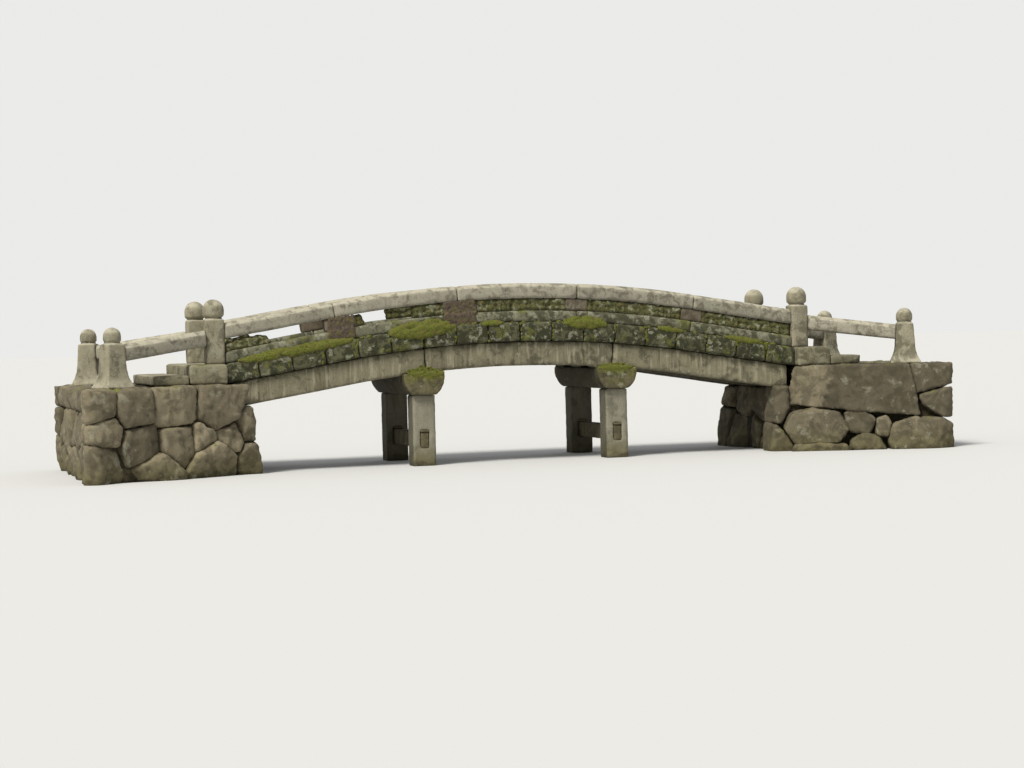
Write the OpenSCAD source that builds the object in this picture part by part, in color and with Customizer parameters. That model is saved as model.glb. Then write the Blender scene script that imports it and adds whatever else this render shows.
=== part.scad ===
// Moon bridge: an arched garden footbridge of cut granite on two framed piers.
// X runs along the bridge, -Y is the near side, and Z is 0 at the feet.

/* [Deck curve] */
// Height of the walking surface over the feet at midspan
crown_z = 1830; // [1400:10:2600]
// Radius of the cambered middle of the walking surface
camber_r = 15000; // [10000:100:30000]
// Half length of the cambered middle, straight slopes follow
camber_half = 2400; // [1600:20:3200]
// Half length of the deck, to the inner faces of the newels
deck_half = 3880; // [3000:10:6000]

/* [Deck] */
// Width of the deck slabs
deck_w = 1840; // [1200:10:3000]
// Thickness of the deck slabs
slab_t = 250; // [120:5:350]
// Length along the bridge that one slab aims at
slab_len = 430; // [250:10:900]
// Open joint between neighbouring stones
joint = 4; // [2:1:10]
// Chamfer along the slab edges
slab_chamfer = 14; // [4:1:30]

/* [Girders] */
// Depth of the girders
girder_h = 320; // [200:5:500]
// Width of each girder
girder_w = 330; // [200:5:450]
// Distance from the slab edge back to the outer girder face
slab_overhang = 60; // [0:5:200]
// Gap between the girder ends and the abutment's back wall
girder_end_gap = 15; // [5:1:60]

/* [Piers] */
// Distance from midspan to each pier
pier_x = 1320; // [900:10:2000]
// Side of the square columns
column_w = 300; // [200:5:450]
// Distance between the two columns of a pier, centre to centre
column_spacing = 1450; // [900:10:2400]
// Chamfer on the column arrises
column_chamfer = 16; // [4:1:40]

/* [Pier caps] */
// Height of the cap beam
cap_h = 280; // [180:5:450]
// Height of the cap's upright upper band
cap_band_h = 40; // [40:5:200]
// Width of the cap over its top
cap_top_w = 550; // [360:5:800]
// Width of the cap where it meets the columns
cap_foot_w = 310; // [240:5:500]
// Length of the cap beyond the outer column faces, at each end
cap_overhang = 75; // [0:5:250]

/* [Pier ties] */
// Thickness of the tie beam
tie_w = 112; // [60:2:180]
// Height of the tie beam
tie_h = 205; // [100:5:300]
// Height of the tie's underside over the column's foot
tie_z = 232; // [60:2:600]
// Gap left at each side of the tie in its mortises
mortise_play = 2; // [1:0.5:5]
// Height of the mortise over the tie, filled by the mouth of a wedge
mortise_head = 30; // [24:1:60]
// Length of a wedge inside the column
wedge_l = 128; // [60:2:145]
// Thickness of a wedge at its thin end
wedge_tip = 14; // [8:1:20]
// Length by which a wedge stands out of the column
wedge_proud = 12; // [2:1:40]

/* [Parapets] */
// Distance from the slab edge back to the outer face of the sill
sill_setback = 85; // [20:5:200]
// Height of the sill
sill_h = 150; // [80:5:250]
// Width of the sill
sill_w = 200; // [120:5:300]
// Height of the slot between sill and top rail
slot_h = 160; // [80:5:500]
// Height of the top rail
rail_h = 200; // [100:5:300]
// Width of the top rail
rail_w = 205; // [120:5:320]
// Chamfer along the lower edges of the sill and the rail
arris = 18; // [4:1:40]
// Width and depth of the rail's sloped top shoulders
rail_shoulder = 42; // [10:1:90]
// Length of one parapet bay, from post to post
bay = 1600; // [1000:20:2400]
// Length of a post along the bridge
post_l = 300; // [120:5:400]
// Thickness of a post across the bridge
post_t = 150; // [100:5:250]

/* [Newels] */
// Side of the square newel shaft
newel_w = 240; // [180:5:400]
// Height of the newel shaft over the landing
newel_h = 565; // [400:5:1200]
// Width of the newel's round neck
newel_neck_w = 200; // [100:4:320]
// Height of the newel's neck
newel_neck_h = 28; // [10:2:80]
// Width of the newel's domed cap
newel_cap_w = 272; // [160:2:400]
// Height of the newel's domed cap
newel_cap_h = 225; // [130:5:400]

/* [Wing parapets] */
// Angle by which the wings splay out from the line of the bridge
wing_splay = 22; // [0:1:30]
// Length of a wing, from the middle of the newel to the middle of the end post
wing_l = 1450; // [900:10:3000]
// Height of the wing rail's top over the landing, at the newel
wing_rise = 445; // [350:5:900]
// Height of the wing rail's top over the path, at the end post
wing_rail_h = 525; // [400:5:900]
// Side of the end post where it meets the path
end_post_foot_w = 420; // [280:5:600]
// Side of the end post where its flare ends
end_post_knee_w = 258; // [180:2:400]
// Height of the flare
end_post_knee_h = 270; // [100:5:400]
// Side of the end post at its top
end_post_top_w = 225; // [140:5:380]
// Height of the end post's shaft
end_post_h = 545; // [420:5:1000]
// Width of the end post's round neck
end_neck_w = 170; // [90:2:260]
// Height of the end post's neck
end_neck_h = 24; // [10:2:80]
// Width of the end post's domed cap
end_cap_w = 222; // [140:2:360]
// Height of the end post's domed cap
end_cap_h = 178; // [110:2:300]

/* [Abutments] */
// Distance from midspan to the abutment face at bearing height
abutment_x = 3600; // [2600:10:5600]
// Distance from the end of the deck back to the abutment's back wall
back_wall_setback = 70; // [30:5:200]
// Length of the landing stone beyond the deck
landing_l = 480; // [300:10:1200]
// Width of the landing stone and of the step
landing_w = 2060; // [1500:10:3400]
// Length of the step between landing and path
step_l = 440; // [250:10:900]
// Masonry left outside the middle of the wing, along its length
wing_ledge = 330; // [220:5:600]
// Masonry left beyond the middle of the end post
abutment_tail = 400; // [250:10:1200]
// Outward lean of the abutment faces from top to foot
abutment_batter = 110; // [0:5:300]

/* [Hidden] */
$fn = 256;
far = 20000;
both = [-1, 1];

// The walking surface is an arc about this height, with tangents beyond it.
arc_z = crown_z - camber_r;
slope = asin(camber_half / camber_r);

arc_half = camber_r * slope * PI / 180;
end_station = arc_half + (deck_half - camber_half) / cos(slope) + rail_h + slot_h;

// Turn of the deck, in degrees, over a stretch of the cambered middle.
function deck_angle(s) = s / camber_r * 180 / PI;

// Facets to a full turn that give an arc an even number of them, so that a
// stone over midspan reaches its full height.
function arc_fn(turn) = floor(360 / turn * 2 * max(1, floor($fn * turn / 720)));

// Lean of the joints, in degrees, at x.
function lean(x) = asin(min(x, camber_half) / camber_r);

// Station, measured along the walking surface from midspan, of a place at x.
function station(x) =
    abs(x) <= camber_half
        ? camber_r * asin(x / camber_r) * PI / 180
        : sign(x) * (arc_half + (abs(x) - camber_half) / cos(slope));

// Height at x of the line that lies d over the walking surface.
function line_z(x, d) =
    abs(x) <= (camber_r + d) * sin(slope)
        ? arc_z + sqrt(pow(camber_r + d, 2) - x * x)
        : arc_z + (camber_r + d) / cos(slope) - abs(x) * tan(slope);

slab_tail = slab_t * tan(slope);
girder_top = -slab_t;
girder_foot = -slab_t - girder_h;
cap_top_z = line_z(pier_x, girder_foot);
column_h = cap_top_z - cap_h;
cap_l = column_spacing + column_w + 2 * cap_overhang;
cap_taper = (cap_top_w - cap_foot_w) / 2;
cap_curve_h = cap_h - cap_band_h;
cap_curve_r = (pow(cap_taper, 2) + pow(cap_curve_h, 2)) / (2 * cap_taper);

pier_station = station(pier_x);
seat_w = girder_w - arris;
seat_x = pier_x - cap_top_w / 2;
seat_end_x = pier_x + girder_foot * sin(lean(pier_x)) - joint;
girder_y = deck_w / 2 - slab_overhang - girder_w / 2;
parapet_y = deck_w / 2 - sill_setback - sill_w / 2;
slot_z = sill_h;
rail_z = sill_h + slot_h;
newel_x = deck_half + newel_w / 2;
landing_z = line_z(deck_half, 0);
abutment_top_z = line_z(deck_half, girder_top);
shelf_z = line_z(abutment_x, girder_foot);
back_x = deck_half - back_wall_setback;
girder_end_x = back_x - girder_end_gap;
step_x = deck_half + landing_l + joint;
step_h = (landing_z - abutment_top_z) / 2;
wing_start_z = landing_z + wing_rise;
wing_slope = atan((wing_start_z - abutment_top_z - wing_rail_h) / (wing_l - end_post_top_w / 2));
tail_x = newel_x + wing_l * cos(wing_splay) + abutment_tail;

// A run of stone between two stations, with joints square to the deck.
// Its cross-section is the child: X is the height over the walking surface
// and Y is the place across the bridge.
module course(s0, s1) {
    if (s0 + s1 < 0)
        mirror([1, 0, 0])
            rising_course(-s1, -s0)
                children();
    else
        rising_course(s0, s1)
            children();
}

module rising_course(s0, s1) {
    a0 = max(s0, -arc_half);
    a1 = min(s1, arc_half);
    turn = deck_angle(a1 - a0);
    union() {
        if (a1 > a0)
            translate([0, 0, arc_z])
                rotate([90, 0, 0])
                    rotate([0, 0, 90 - deck_angle(a1)])
                        rotate_extrude(angle = turn, $fn = arc_fn(turn))
                            translate([camber_r, 0])
                                children();
        if (s1 > arc_half)
            ramp(max(s0 - arc_half, 0), s1 - arc_half)
                children();
        if (s0 < -arc_half)
            mirror([1, 0, 0])
                ramp(max(-s1 - arc_half, 0), -s0 - arc_half)
                    children();
    }
}

// The straight slope beyond the cambered middle, from t0 to t1 along it.
module ramp(t0, t1) {
    translate([0, 0, arc_z])
        rotate([0, slope, 0])
            translate([t0, 0, camber_r])
                rotate([0, 90, 0])
                    linear_extrude(t1 - t0)
                        rotate(180)
                            children();
}

// Keeps what lies between two upright planes at -x and x.
module within(x) {
    intersection() {
        children();
        translate([-x, -far / 2, -far / 2])
            cube([2 * x, far, far]);
    }
}

// A square-cut section with chamfered arrises, from low to high.
module block_section(low, high, w, low_cut, high_cut) {
    polygon([
        [low, -w / 2 + low_cut], [low, w / 2 - low_cut],
        [low + low_cut, w / 2], [high - high_cut, w / 2],
        [high, w / 2 - high_cut], [high, -w / 2 + high_cut],
        [high - high_cut, -w / 2], [low + low_cut, -w / 2]
    ]);
}

// A square shaft standing on z = 0, with its four upright arrises chamfered.
module shaft(w, h, cut) {
    linear_extrude(h)
        polygon([
            [-w / 2 + cut, -w / 2], [w / 2 - cut, -w / 2],
            [w / 2, -w / 2 + cut], [w / 2, w / 2 - cut],
            [w / 2 - cut, w / 2], [-w / 2 + cut, w / 2],
            [-w / 2, w / 2 - cut], [-w / 2, -w / 2 + cut]
        ]);
}

// Pier column, pierced by the mortise that the tie passes through.
module column(side, row) {
    color("lightgray")
        translate([side * pier_x, row * column_spacing / 2, 0])
            difference() {
                shaft(column_w, column_h, column_chamfer);
                translate([-tie_w / 2 - mortise_play, -column_w, tie_z])
                    cube([tie_w + 2 * mortise_play, 2 * column_w, tie_h + mortise_head]);
            }
}

// Tie beam, whose ends lie flush with the outer faces of the columns.
module tie(side) {
    tie_l = column_spacing + column_w;
    color("darkgray")
        translate([side * pier_x - tie_w / 2, -tie_l / 2, tie_z])
            cube([tie_w, tie_l, tie_h]);
}

// Wedge that lies on the tie and is driven into a column from its outer face.
module wedge() {
    fall = (mortise_head - wedge_tip) / wedge_l;
    translate([-tie_w / 2, column_w / 2, tie_z + tie_h])
        rotate([90, 0, 90])
            linear_extrude(tie_w)
                polygon([
                    [-wedge_l, 0], [wedge_proud, 0],
                    [wedge_proud, mortise_head + wedge_proud * fall], [-wedge_l, wedge_tip]
                ]);
}

// The wedges of all the columns, one from each face that a tie comes through.
module wedges() {
    color("dimgray")
        for (side = both)
            for (row = both)
                for (face = [0, 1])
                    translate([side * pier_x, row * column_spacing / 2, 0])
                        mirror([0, face, 0])
                            wedge();
}

// Half of the cap's end: an upright band over a boat-shaped flank.
module cap_half() {
    translate([0, cap_curve_h])
        square([cap_top_w / 2, cap_band_h]);
    intersection() {
        square([cap_top_w / 2, cap_curve_h]);
        translate([cap_top_w / 2 - cap_curve_r, cap_curve_h])
            circle(cap_curve_r);
    }
}

// Cap beam over the two columns of a pier.
module cap(side) {
    color("silver")
        translate([side * pier_x, cap_l / 2, column_h])
            rotate([90, 0, 0])
                linear_extrude(cap_l) {
                    cap_half();
                    mirror([1, 0])
                        cap_half();
                }
}

// Three girders of one span, cut flat where they bear on caps and abutments.
module girders(s0, s1) {
    color("tan")
        difference() {
            within(girder_end_x)
                for (row = [-1, 0, 1])
                    course(s0, s1)
                        translate([0, row * girder_y])
                            block_section(girder_foot, girder_top, girder_w, arris, arris / 3);
            for (side = both)
                translate([side * pier_x - cap_top_w / 2, -cap_l / 2, column_h])
                    cube([cap_top_w, cap_l, cap_h]);
            for (side = both)
                bearing(side);
        }
}

// The centre girders, with wedge-shaped seats that level them on the caps.
module centre_girders() {
    color("tan")
        union() {
            girders(joint / 2 - pier_station, pier_station - joint / 2);
            for (row = [-1, 0, 1])
                for (side = both)
                    mirror([side < 0 ? 1 : 0, 0, 0])
                        translate([seat_x, row * girder_y - seat_w / 2, cap_top_z])
                            cube([seat_end_x - seat_x, seat_w, girder_h / 2]);
        }
}

// The space taken by the abutment shelf under the girder ends.
module bearing(side) {
    mirror([side < 0 ? 1 : 0, 0, 0])
        translate([abutment_x, -far / 2, 0])
            cube([far, far, shelf_z]);
}

// Deck slabs laid crosswise, shared out evenly between two stations.
module deck(s0, s1) {
    count = max(1, round((s1 - s0) / slab_len));
    step = (s1 - s0) / count;
    color("gray")
        within(deck_half)
            for (i = [0 : count - 1])
                course(s0 + i * step + joint / 2, s0 + (i + 1) * step - joint / 2)
                    block_section(-slab_t, 0, deck_w, slab_chamfer, slab_chamfer);
}

// Stations where the parapet stones of bay i start, 0 at the left newel.
function bay_station(i) =
    i == 0 ? -end_station : i == 5 ? end_station : station((i - 2.5) * bay);

// A parapet stone over bay i, whose cross-section is the child.
module parapet_stone(row, i) {
    within(deck_half)
        course(bay_station(i) + joint / 2, bay_station(i + 1) - joint / 2)
            translate([0, -row * parapet_y])
                children();
}

// Sill stones along one edge of the deck.
module sill(row) {
    color("dimgray")
        for (i = [0 : 4])
            parapet_stone(row, i)
                block_section(0, sill_h, sill_w, 0.5, arris);
}

// Post under the joint between two rail stones.
module post(row, i) {
    color("rosybrown")
        course(bay_station(i) - post_l / 2, bay_station(i) + post_l / 2)
            translate([0, -row * parapet_y])
                block_section(slot_z, rail_z, post_t, 0.5, 0.5);
}

// Cross-section of the top rail, with shoulders sloped to shed the rain.
module rail_section() {
    polygon([
        [0, -rail_w / 2 + arris], [0, rail_w / 2 - arris],
        [arris, rail_w / 2], [rail_h - rail_shoulder, rail_w / 2],
        [rail_h, rail_w / 2 - 1.6 * rail_shoulder], [rail_h, -rail_w / 2 + 1.6 * rail_shoulder],
        [rail_h - rail_shoulder, -rail_w / 2], [arris, -rail_w / 2]
    ]);
}

// Top rail stones of one side, a stone to each bay.
module rail(row) {
    color("lightslategray")
        for (i = [0 : 4])
            parapet_stone(row, i)
                translate([rail_z, 0])
                    rail_section();
}

// A round cap on a neck: a drum under a half-round dome.
module domed_cap(neck_w, neck_h, w, h) {
    drum_h = h - w / 2;
    lip = (w - neck_w) / 4;
    rotate_extrude() {
        polygon([
            [0, 0], [neck_w / 2, 0], [neck_w / 2, neck_h], [w / 2 - lip, neck_h],
            [w / 2, neck_h + lip], [w / 2, neck_h + drum_h], [0, neck_h + drum_h]
        ]);
        translate([0, neck_h + drum_h])
            intersection() {
                square(w / 2);
                circle(w / 2);
            }
    }
}

// Newel at the end of the deck: chamfered shaft and domed cap.
module newel(side, row) {
    color("slategray")
        translate([side * newel_x, row * parapet_y, landing_z]) {
            shaft(newel_w, newel_h, column_chamfer);
            translate([0, 0, newel_h])
                domed_cap(newel_neck_w, newel_neck_h, newel_cap_w, newel_cap_h);
        }
}

// Lays out one wing: X runs from the middle of the newel out along the wing.
module wing(side, row) {
    mirror([side < 0 ? 1 : 0, 0, 0])
        mirror([0, row > 0 ? 1 : 0, 0])
            translate([newel_x, -parapet_y, 0])
                rotate(-wing_splay)
                    children();
}

// Half of the end post's outline: a straight taper over a hollow flare.
module end_post_half() {
    spread = (end_post_foot_w - end_post_knee_w) / 2;
    flare_r = (pow(spread, 2) + pow(end_post_knee_h, 2)) / (2 * spread);
    polygon([
        [0, end_post_knee_h], [end_post_knee_w / 2, end_post_knee_h],
        [end_post_top_w / 2, end_post_h], [0, end_post_h]
    ]);
    difference() {
        square([end_post_foot_w / 2, end_post_knee_h]);
        translate([end_post_knee_w / 2 + flare_r, end_post_knee_h])
            circle(flare_r);
    }
}

// The end post's outline carried w across the wing.
module end_post_block(w) {
    translate([0, w / 2, 0])
        rotate([90, 0, 0])
            linear_extrude(w) {
                end_post_half();
                mirror([1, 0])
                    end_post_half();
            }
}

// End post of a wing: tapered and flared shaft under a domed cap.
module end_post(side, row) {
    color("slategray")
        wing(side, row)
            translate([wing_l, 0, abutment_top_z]) {
                intersection() {
                    end_post_block(end_post_foot_w);
                    rotate(90)
                        end_post_block(end_post_foot_w);
                }
                translate([0, 0, end_post_h])
                    domed_cap(end_neck_w, end_neck_h, end_cap_w, end_cap_h);
            }
}

// Wing rail, cut at its ends to the faces of the newel and the end post.
module wing_rail(side, row) {
    color("lightslategray")
        wing(side, row)
            difference() {
                translate([0, 0, wing_start_z])
                    rotate([0, wing_slope, 0])
                        translate([0, 0, -rail_h])
                            rotate([0, 90, 0])
                                linear_extrude(wing_l)
                                    rotate(180)
                                        rail_section();
                rotate(wing_splay)
                    translate([newel_w / 2 - far, -far / 2, 0])
                        cube([far, far, far]);
                translate([wing_l, 0, abutment_top_z])
                    end_post_block(end_post_foot_w);
            }
}

// Landing stone that carries the newels and the first riser of the approach.
module landing(side) {
    color("gainsboro")
        mirror([side < 0 ? 1 : 0, 0, 0])
            translate([deck_half + joint / 2, -landing_w / 2, abutment_top_z])
                cube([landing_l - joint / 2, landing_w, landing_z - abutment_top_z]);
}

// Step between the landing and the path.
module step(side) {
    color("gainsboro")
        mirror([side < 0 ? 1 : 0, 0, 0])
            translate([step_x, -landing_w / 2, abutment_top_z])
                cube([step_l, landing_w, step_h]);
}

// Abutment: a battered mass that splays with the wings, with a bearing shelf
// and a back wall at the girder ends.
module abutment(side) {
    color("darkkhaki")
        mirror([side < 0 ? 1 : 0, 0, 0])
            difference() {
                translate([0, far / 4, 0])
                    rotate([90, 0, 0])
                        linear_extrude(far / 2)
                            polygon([
                                [abutment_x - abutment_batter, 0],
                                [tail_x, 0],
                                [tail_x, abutment_top_z],
                                [back_x, abutment_top_z],
                                [back_x, shelf_z],
                                [abutment_x, shelf_z]
                            ]);
                outside_flank(-1);
                outside_flank(1);
            }
}

// The space outside one battered flank of the right-hand abutment.
module outside_flank(row) {
    wing(1, row)
        translate([0, -wing_ledge, abutment_top_z])
            rotate([-atan(abutment_batter / abutment_top_z), 0, 0])
                translate([-far / 2, -far, -far / 2])
                    cube([far, far, far]);
}

column(-1, -1);  // column_left_near
column(-1, 1);  // column_left_far
column(1, -1);  // column_right_near
column(1, 1);  // column_right_far
tie(-1);  // tie_left
tie(1);  // tie_right
wedges();
cap(-1);  // cap_left
cap(1);  // cap_right
girders(-end_station, -pier_station - joint / 2);  // girders_left
centre_girders();  // girders_centre
girders(pier_station + joint / 2, end_station);  // girders_right
deck(station(-deck_half) - slab_tail, -pier_station);  // deck_left
deck(-pier_station, pier_station);  // deck_centre
deck(pier_station, station(deck_half) + slab_tail);  // deck_right
sill(-1);  // sill_near
sill(1);  // sill_far
post(-1, 1);  // post_near_1
post(-1, 2);  // post_near_2
post(-1, 3);  // post_near_3
post(-1, 4);  // post_near_4
post(1, 1);  // post_far_1
post(1, 2);  // post_far_2
post(1, 3);  // post_far_3
post(1, 4);  // post_far_4
rail(-1);  // rail_near
rail(1);  // rail_far
newel(-1, -1);  // newel_left_near
newel(-1, 1);  // newel_left_far
newel(1, -1);  // newel_right_near
newel(1, 1);  // newel_right_far
wing_rail(-1, -1);  // wing_rail_left_near
wing_rail(-1, 1);  // wing_rail_left_far
wing_rail(1, -1);  // wing_rail_right_near
wing_rail(1, 1);  // wing_rail_right_far
end_post(-1, -1);  // end_post_left_near
end_post(-1, 1);  // end_post_left_far
end_post(1, -1);  // end_post_right_near
end_post(1, 1);  // end_post_right_far
landing(-1);  // landing_left
landing(1);  // landing_right
step(-1);  // step_left
step(1);  // step_right
abutment(-1);  // abutment_left
abutment(1);  // abutment_right
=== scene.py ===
# %% [markdown]
# # A stone moon bridge
# The CAD model already holds every stone of the bridge at its true size and
# place. What it can't hold is age: rounded arrises, chips, crystals, rain
# streaks, lichen, moss and the boulders of the abutments. This lesson adds
# them, one finish and one kind of stone at a time. All lengths are in metres.

# %% Load the frame
import math
import random

import bpy
import numpy as np
from mathutils import Matrix, Quaternion, Vector


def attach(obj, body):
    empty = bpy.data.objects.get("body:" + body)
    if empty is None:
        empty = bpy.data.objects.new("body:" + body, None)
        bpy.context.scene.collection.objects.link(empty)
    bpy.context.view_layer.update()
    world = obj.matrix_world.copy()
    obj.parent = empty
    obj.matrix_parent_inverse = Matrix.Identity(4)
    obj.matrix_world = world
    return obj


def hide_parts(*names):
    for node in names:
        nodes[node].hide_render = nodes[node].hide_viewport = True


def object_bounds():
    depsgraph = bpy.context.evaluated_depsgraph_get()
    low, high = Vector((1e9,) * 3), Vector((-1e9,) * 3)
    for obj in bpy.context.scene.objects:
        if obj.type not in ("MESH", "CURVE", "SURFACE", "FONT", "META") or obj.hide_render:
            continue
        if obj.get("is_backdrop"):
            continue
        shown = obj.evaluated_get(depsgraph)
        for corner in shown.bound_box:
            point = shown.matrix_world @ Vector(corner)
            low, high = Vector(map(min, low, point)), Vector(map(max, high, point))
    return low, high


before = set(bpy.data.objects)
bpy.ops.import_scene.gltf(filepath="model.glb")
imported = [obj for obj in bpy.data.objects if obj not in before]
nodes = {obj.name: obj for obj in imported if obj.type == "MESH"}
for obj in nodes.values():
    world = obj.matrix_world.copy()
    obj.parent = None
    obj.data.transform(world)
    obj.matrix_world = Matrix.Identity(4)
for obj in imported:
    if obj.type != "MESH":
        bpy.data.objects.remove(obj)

cad_box = [list(corner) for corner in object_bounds()]
print("CAD box", [[round(v, 3) for v in corner] for corner in cad_box])

# %% [markdown]
# ## The line of the deck
# Moss, streaks and dirt follow the curve of the walking surface: an arc over the
# middle of the bridge, with straight slopes beyond it. Nearly every later cell
# asks how high that line is, so it is written down once.

# %% The walking line
CROWN = 1.83
CAMBER = 15.0
CAMBER_HALF = 2.4
SLOPE = math.asin(CAMBER_HALF / CAMBER)
CAMBER_CENTRE = CROWN - CAMBER
DECK_HALF = 3.88
PARAPET_Y = 0.735


def walk_z(x, over=0.0):
    """Height of the line that lies `over` above the walking surface."""
    radius = CAMBER + over
    if abs(x) <= radius * math.sin(SLOPE):
        return CAMBER_CENTRE + math.sqrt(radius ** 2 - x * x)
    return CAMBER_CENTRE + radius / math.cos(SLOPE) - abs(x) * math.tan(SLOPE)


print("walking line", round(walk_z(0), 3), "to", round(walk_z(DECK_HALF), 3))

# %% [markdown]
# ## Small tools for shader trees
# A stone's look is a long chain of nodes. Wiring each by hand hides the idea,
# so a few one-line tools add a node, fill its sockets and hand back its output.
# They all work on the tree that was opened last.

# %% Tools for shader trees
BUMP_DEPTH = 0.006
tree = None


def open_tree(new):
    """Empties a tree and makes it the one that the tools below add to."""
    global tree
    tree = new
    tree.nodes.clear()


def shade(red, green, blue):
    """A colour given as it looks on screen, 0 to 255, as Blender stores it."""
    def linear(v):
        v /= 255
        return v / 12.92 if v <= 0.04045 else ((v + 0.055) / 1.055) ** 2.4
    return (linear(red), linear(green), linear(blue), 1.0)


def put(kind, inputs=(), **settings):
    """Adds a node to the open tree, sets it up, and fills or links its input sockets."""
    node = tree.nodes.new("ShaderNode" + kind)
    for name, value in settings.items():
        setattr(node, name, value)
    for key, value in dict(inputs).items():
        if isinstance(value, bpy.types.NodeSocket):
            tree.links.new(value, node.inputs[key])
        else:
            node.inputs[key].default_value = value
    return node


def maths(operation, *values, clamp=False):
    return put("Math", enumerate(values), operation=operation, use_clamp=clamp).outputs[0]


def plus(first, second):
    return maths("ADD", first, second)


def minus(first, second):
    return maths("SUBTRACT", first, second)


def times(first, second):
    return maths("MULTIPLY", first, second)


def times_plus(first, second, third):
    """The first two multiplied, plus the third."""
    return maths("MULTIPLY_ADD", first, second, third)


def rise(value, low, high):
    """0 below low, 1 above high, and a soft step between them."""
    node = put("MapRange", {"Value": value, "From Min": low, "From Max": high},
               interpolation_type="SMOOTHSTEP")
    return node.outputs["Result"]


def mix(factor, first, second):
    return put("Mix", {0: factor, 6: first, 7: second}, data_type="RGBA").outputs[2]


def coat(seen, mask, amount, colour):
    """Lays a colour over what is seen, as far as a mask and an amount say."""
    return mix(times(mask, amount), seen, colour)


def noise(vector, scale, detail=3.0, rough=0.55, warp=0.0):
    return put("TexNoise", {"Vector": vector, "Scale": scale, "Detail": detail, "Roughness": rough,
                            "Distortion": warp}).outputs["Fac"]


def new_group(name, inputs, outputs):
    """Opens a shader group. Each takes a place, Vector, before its other inputs."""
    group = bpy.data.node_groups.new(name, "ShaderNodeTree")
    open_tree(group)
    for label, value in {"Vector": None, **inputs}.items():
        kind = "Vector" if value is None else "Color" if label == "Colour" else "Float"
        socket = group.interface.new_socket(label, in_out="INPUT", socket_type="NodeSocket" + kind)
        if value is not None:
            socket.default_value = value
    for label in outputs:
        kind = "Color" if label == "Colour" else "Float"
        group.interface.new_socket(label, in_out="OUTPUT", socket_type="NodeSocket" + kind)
    return group, group.nodes.new("NodeGroupInput").outputs, group.nodes.new("NodeGroupOutput").inputs


def give(end, **outputs):
    """Links what a group has worked out to its outputs."""
    for name, value in outputs.items():
        tree.links.new(value, end[name])


def use(group, inputs):
    """Places a group in the open tree and returns its output sockets."""
    return put("Group", inputs, node_tree=group).outputs


def mask_of(group, spot, **inputs):
    return use(group, {"Vector": spot, **inputs})["Mask"]


def blank_material(name):
    material = bpy.data.materials.new(name)
    material.use_nodes = True
    open_tree(material.node_tree)
    return material


def surface(colour, height, rough, relief, gloss):
    """The last nodes of a material: its bump, its skin and its output."""
    bump = put("Bump", {"Height": height, "Strength": relief, "Distance": BUMP_DEPTH})
    skin = put("BsdfPrincipled", {"Base Color": colour, "Roughness": rough, "Specular IOR Level": gloss,
                                  "Normal": bump.outputs[0]})
    put("OutputMaterial", {"Surface": skin.outputs[0]})


print("shader tools ready")

# %% [markdown]
# ## Granite crystals
# Granite is feldspar, quartz and dark mica in grains of a few millimetres. A
# Voronoi texture gives each grain its own random number, and that number says
# whether the grain is dark, plain or pale. A slow noise clouds the stone, since
# no block is one tone throughout.

# %% Group: granite crystals
crystals, start, end = new_group(
    "Granite crystals", {"Colour": (0.3, 0.28, 0.2, 1), "Grain": 0.004, "Contrast": 0.4},
    ["Colour", "Height"])
cells = put("TexVoronoi", {"Vector": start["Vector"], "Scale": maths("DIVIDE", 1.0, start["Grain"])})
pick = put("SeparateColor", {"Color": cells.outputs["Color"]}).outputs[0]
mica = rise(pick, 0.22, 0.14)
quartz = rise(pick, 0.74, 0.84)
speck = minus(times(quartz, 0.45), mica)
speck = times(speck, start["Contrast"])
cloud = minus(noise(start["Vector"], 4.5, 5, 0.6), 0.5)
tone = plus(times_plus(cloud, 0.7, 1.0), speck)
spotted = put("VectorMath", {0: start["Colour"], "Scale": tone}, operation="SCALE").outputs[0]
pits = noise(start["Vector"], 55, 4, 0.65)
give(end, Colour=spotted, Height=times_plus(pick, 0.15, pits))

# %% [markdown]
# ## Blotches, lichen and streaks
# A few masks make most of the age. Blotches are where damp has darkened the
# stone. Lichen comes as ragged grey crusts a hand wide, from warped noise, and
# as small round rosettes, from Voronoi discs. Streaks run straight down, as
# rain does: they are noise drawn out along Z.

# %% Group: blotches
blotches, start, end = new_group("Damp blotches", {"Size": 0.2, "Level": 0.5, "Edge": 0.08}, ["Mask"])
field = noise(start["Vector"], maths("DIVIDE", 1.0, start["Size"]), 6, 0.62, 0.6)
low = minus(start["Level"], start["Edge"])
high = plus(start["Level"], start["Edge"])
give(end, Mask=rise(field, low, high))

# %% Group: lichen rosettes
rosettes, start, end = new_group("Lichen rosettes", {"Size": 0.1, "Cover": 0.4}, ["Mask"])
ragged = put("TexNoise", {"Vector": start["Vector"], "Scale": 38.0, "Detail": 3.0})
pushed = put("VectorMath", {0: ragged.outputs["Color"], 1: (0.5,) * 3}, operation="SUBTRACT").outputs[0]
pushed = put("VectorMath", {0: pushed, 1: (0.035,) * 3, 2: start["Vector"]},
             operation="MULTIPLY_ADD").outputs[0]
discs = put("TexVoronoi", {"Vector": pushed, "Scale": maths("DIVIDE", 1.0, start["Size"])})
chance = put("SeparateColor", {"Color": discs.outputs["Color"]}).outputs[1]
reach = times(minus(chance, minus(1.0, start["Cover"])), 1.1)
give(end, Mask=rise(minus(reach, discs.outputs["Distance"]), -0.02, 0.07))

# %% Group: lichen crust
lichen_crust, start, end = new_group("Lichen crust", {"Size": 0.14, "Level": 0.56}, ["Mask"])
scale = maths("DIVIDE", 1.0, start["Size"])
field = noise(start["Vector"], scale, 5, 0.58, 0.25)
low = minus(start["Level"], 0.02)
high = plus(start["Level"], 0.06)
gaps = rise(noise(start["Vector"], 60, 4, 0.7), 0.36, 0.52)
give(end, Mask=times(rise(field, low, high), gaps))

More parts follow.
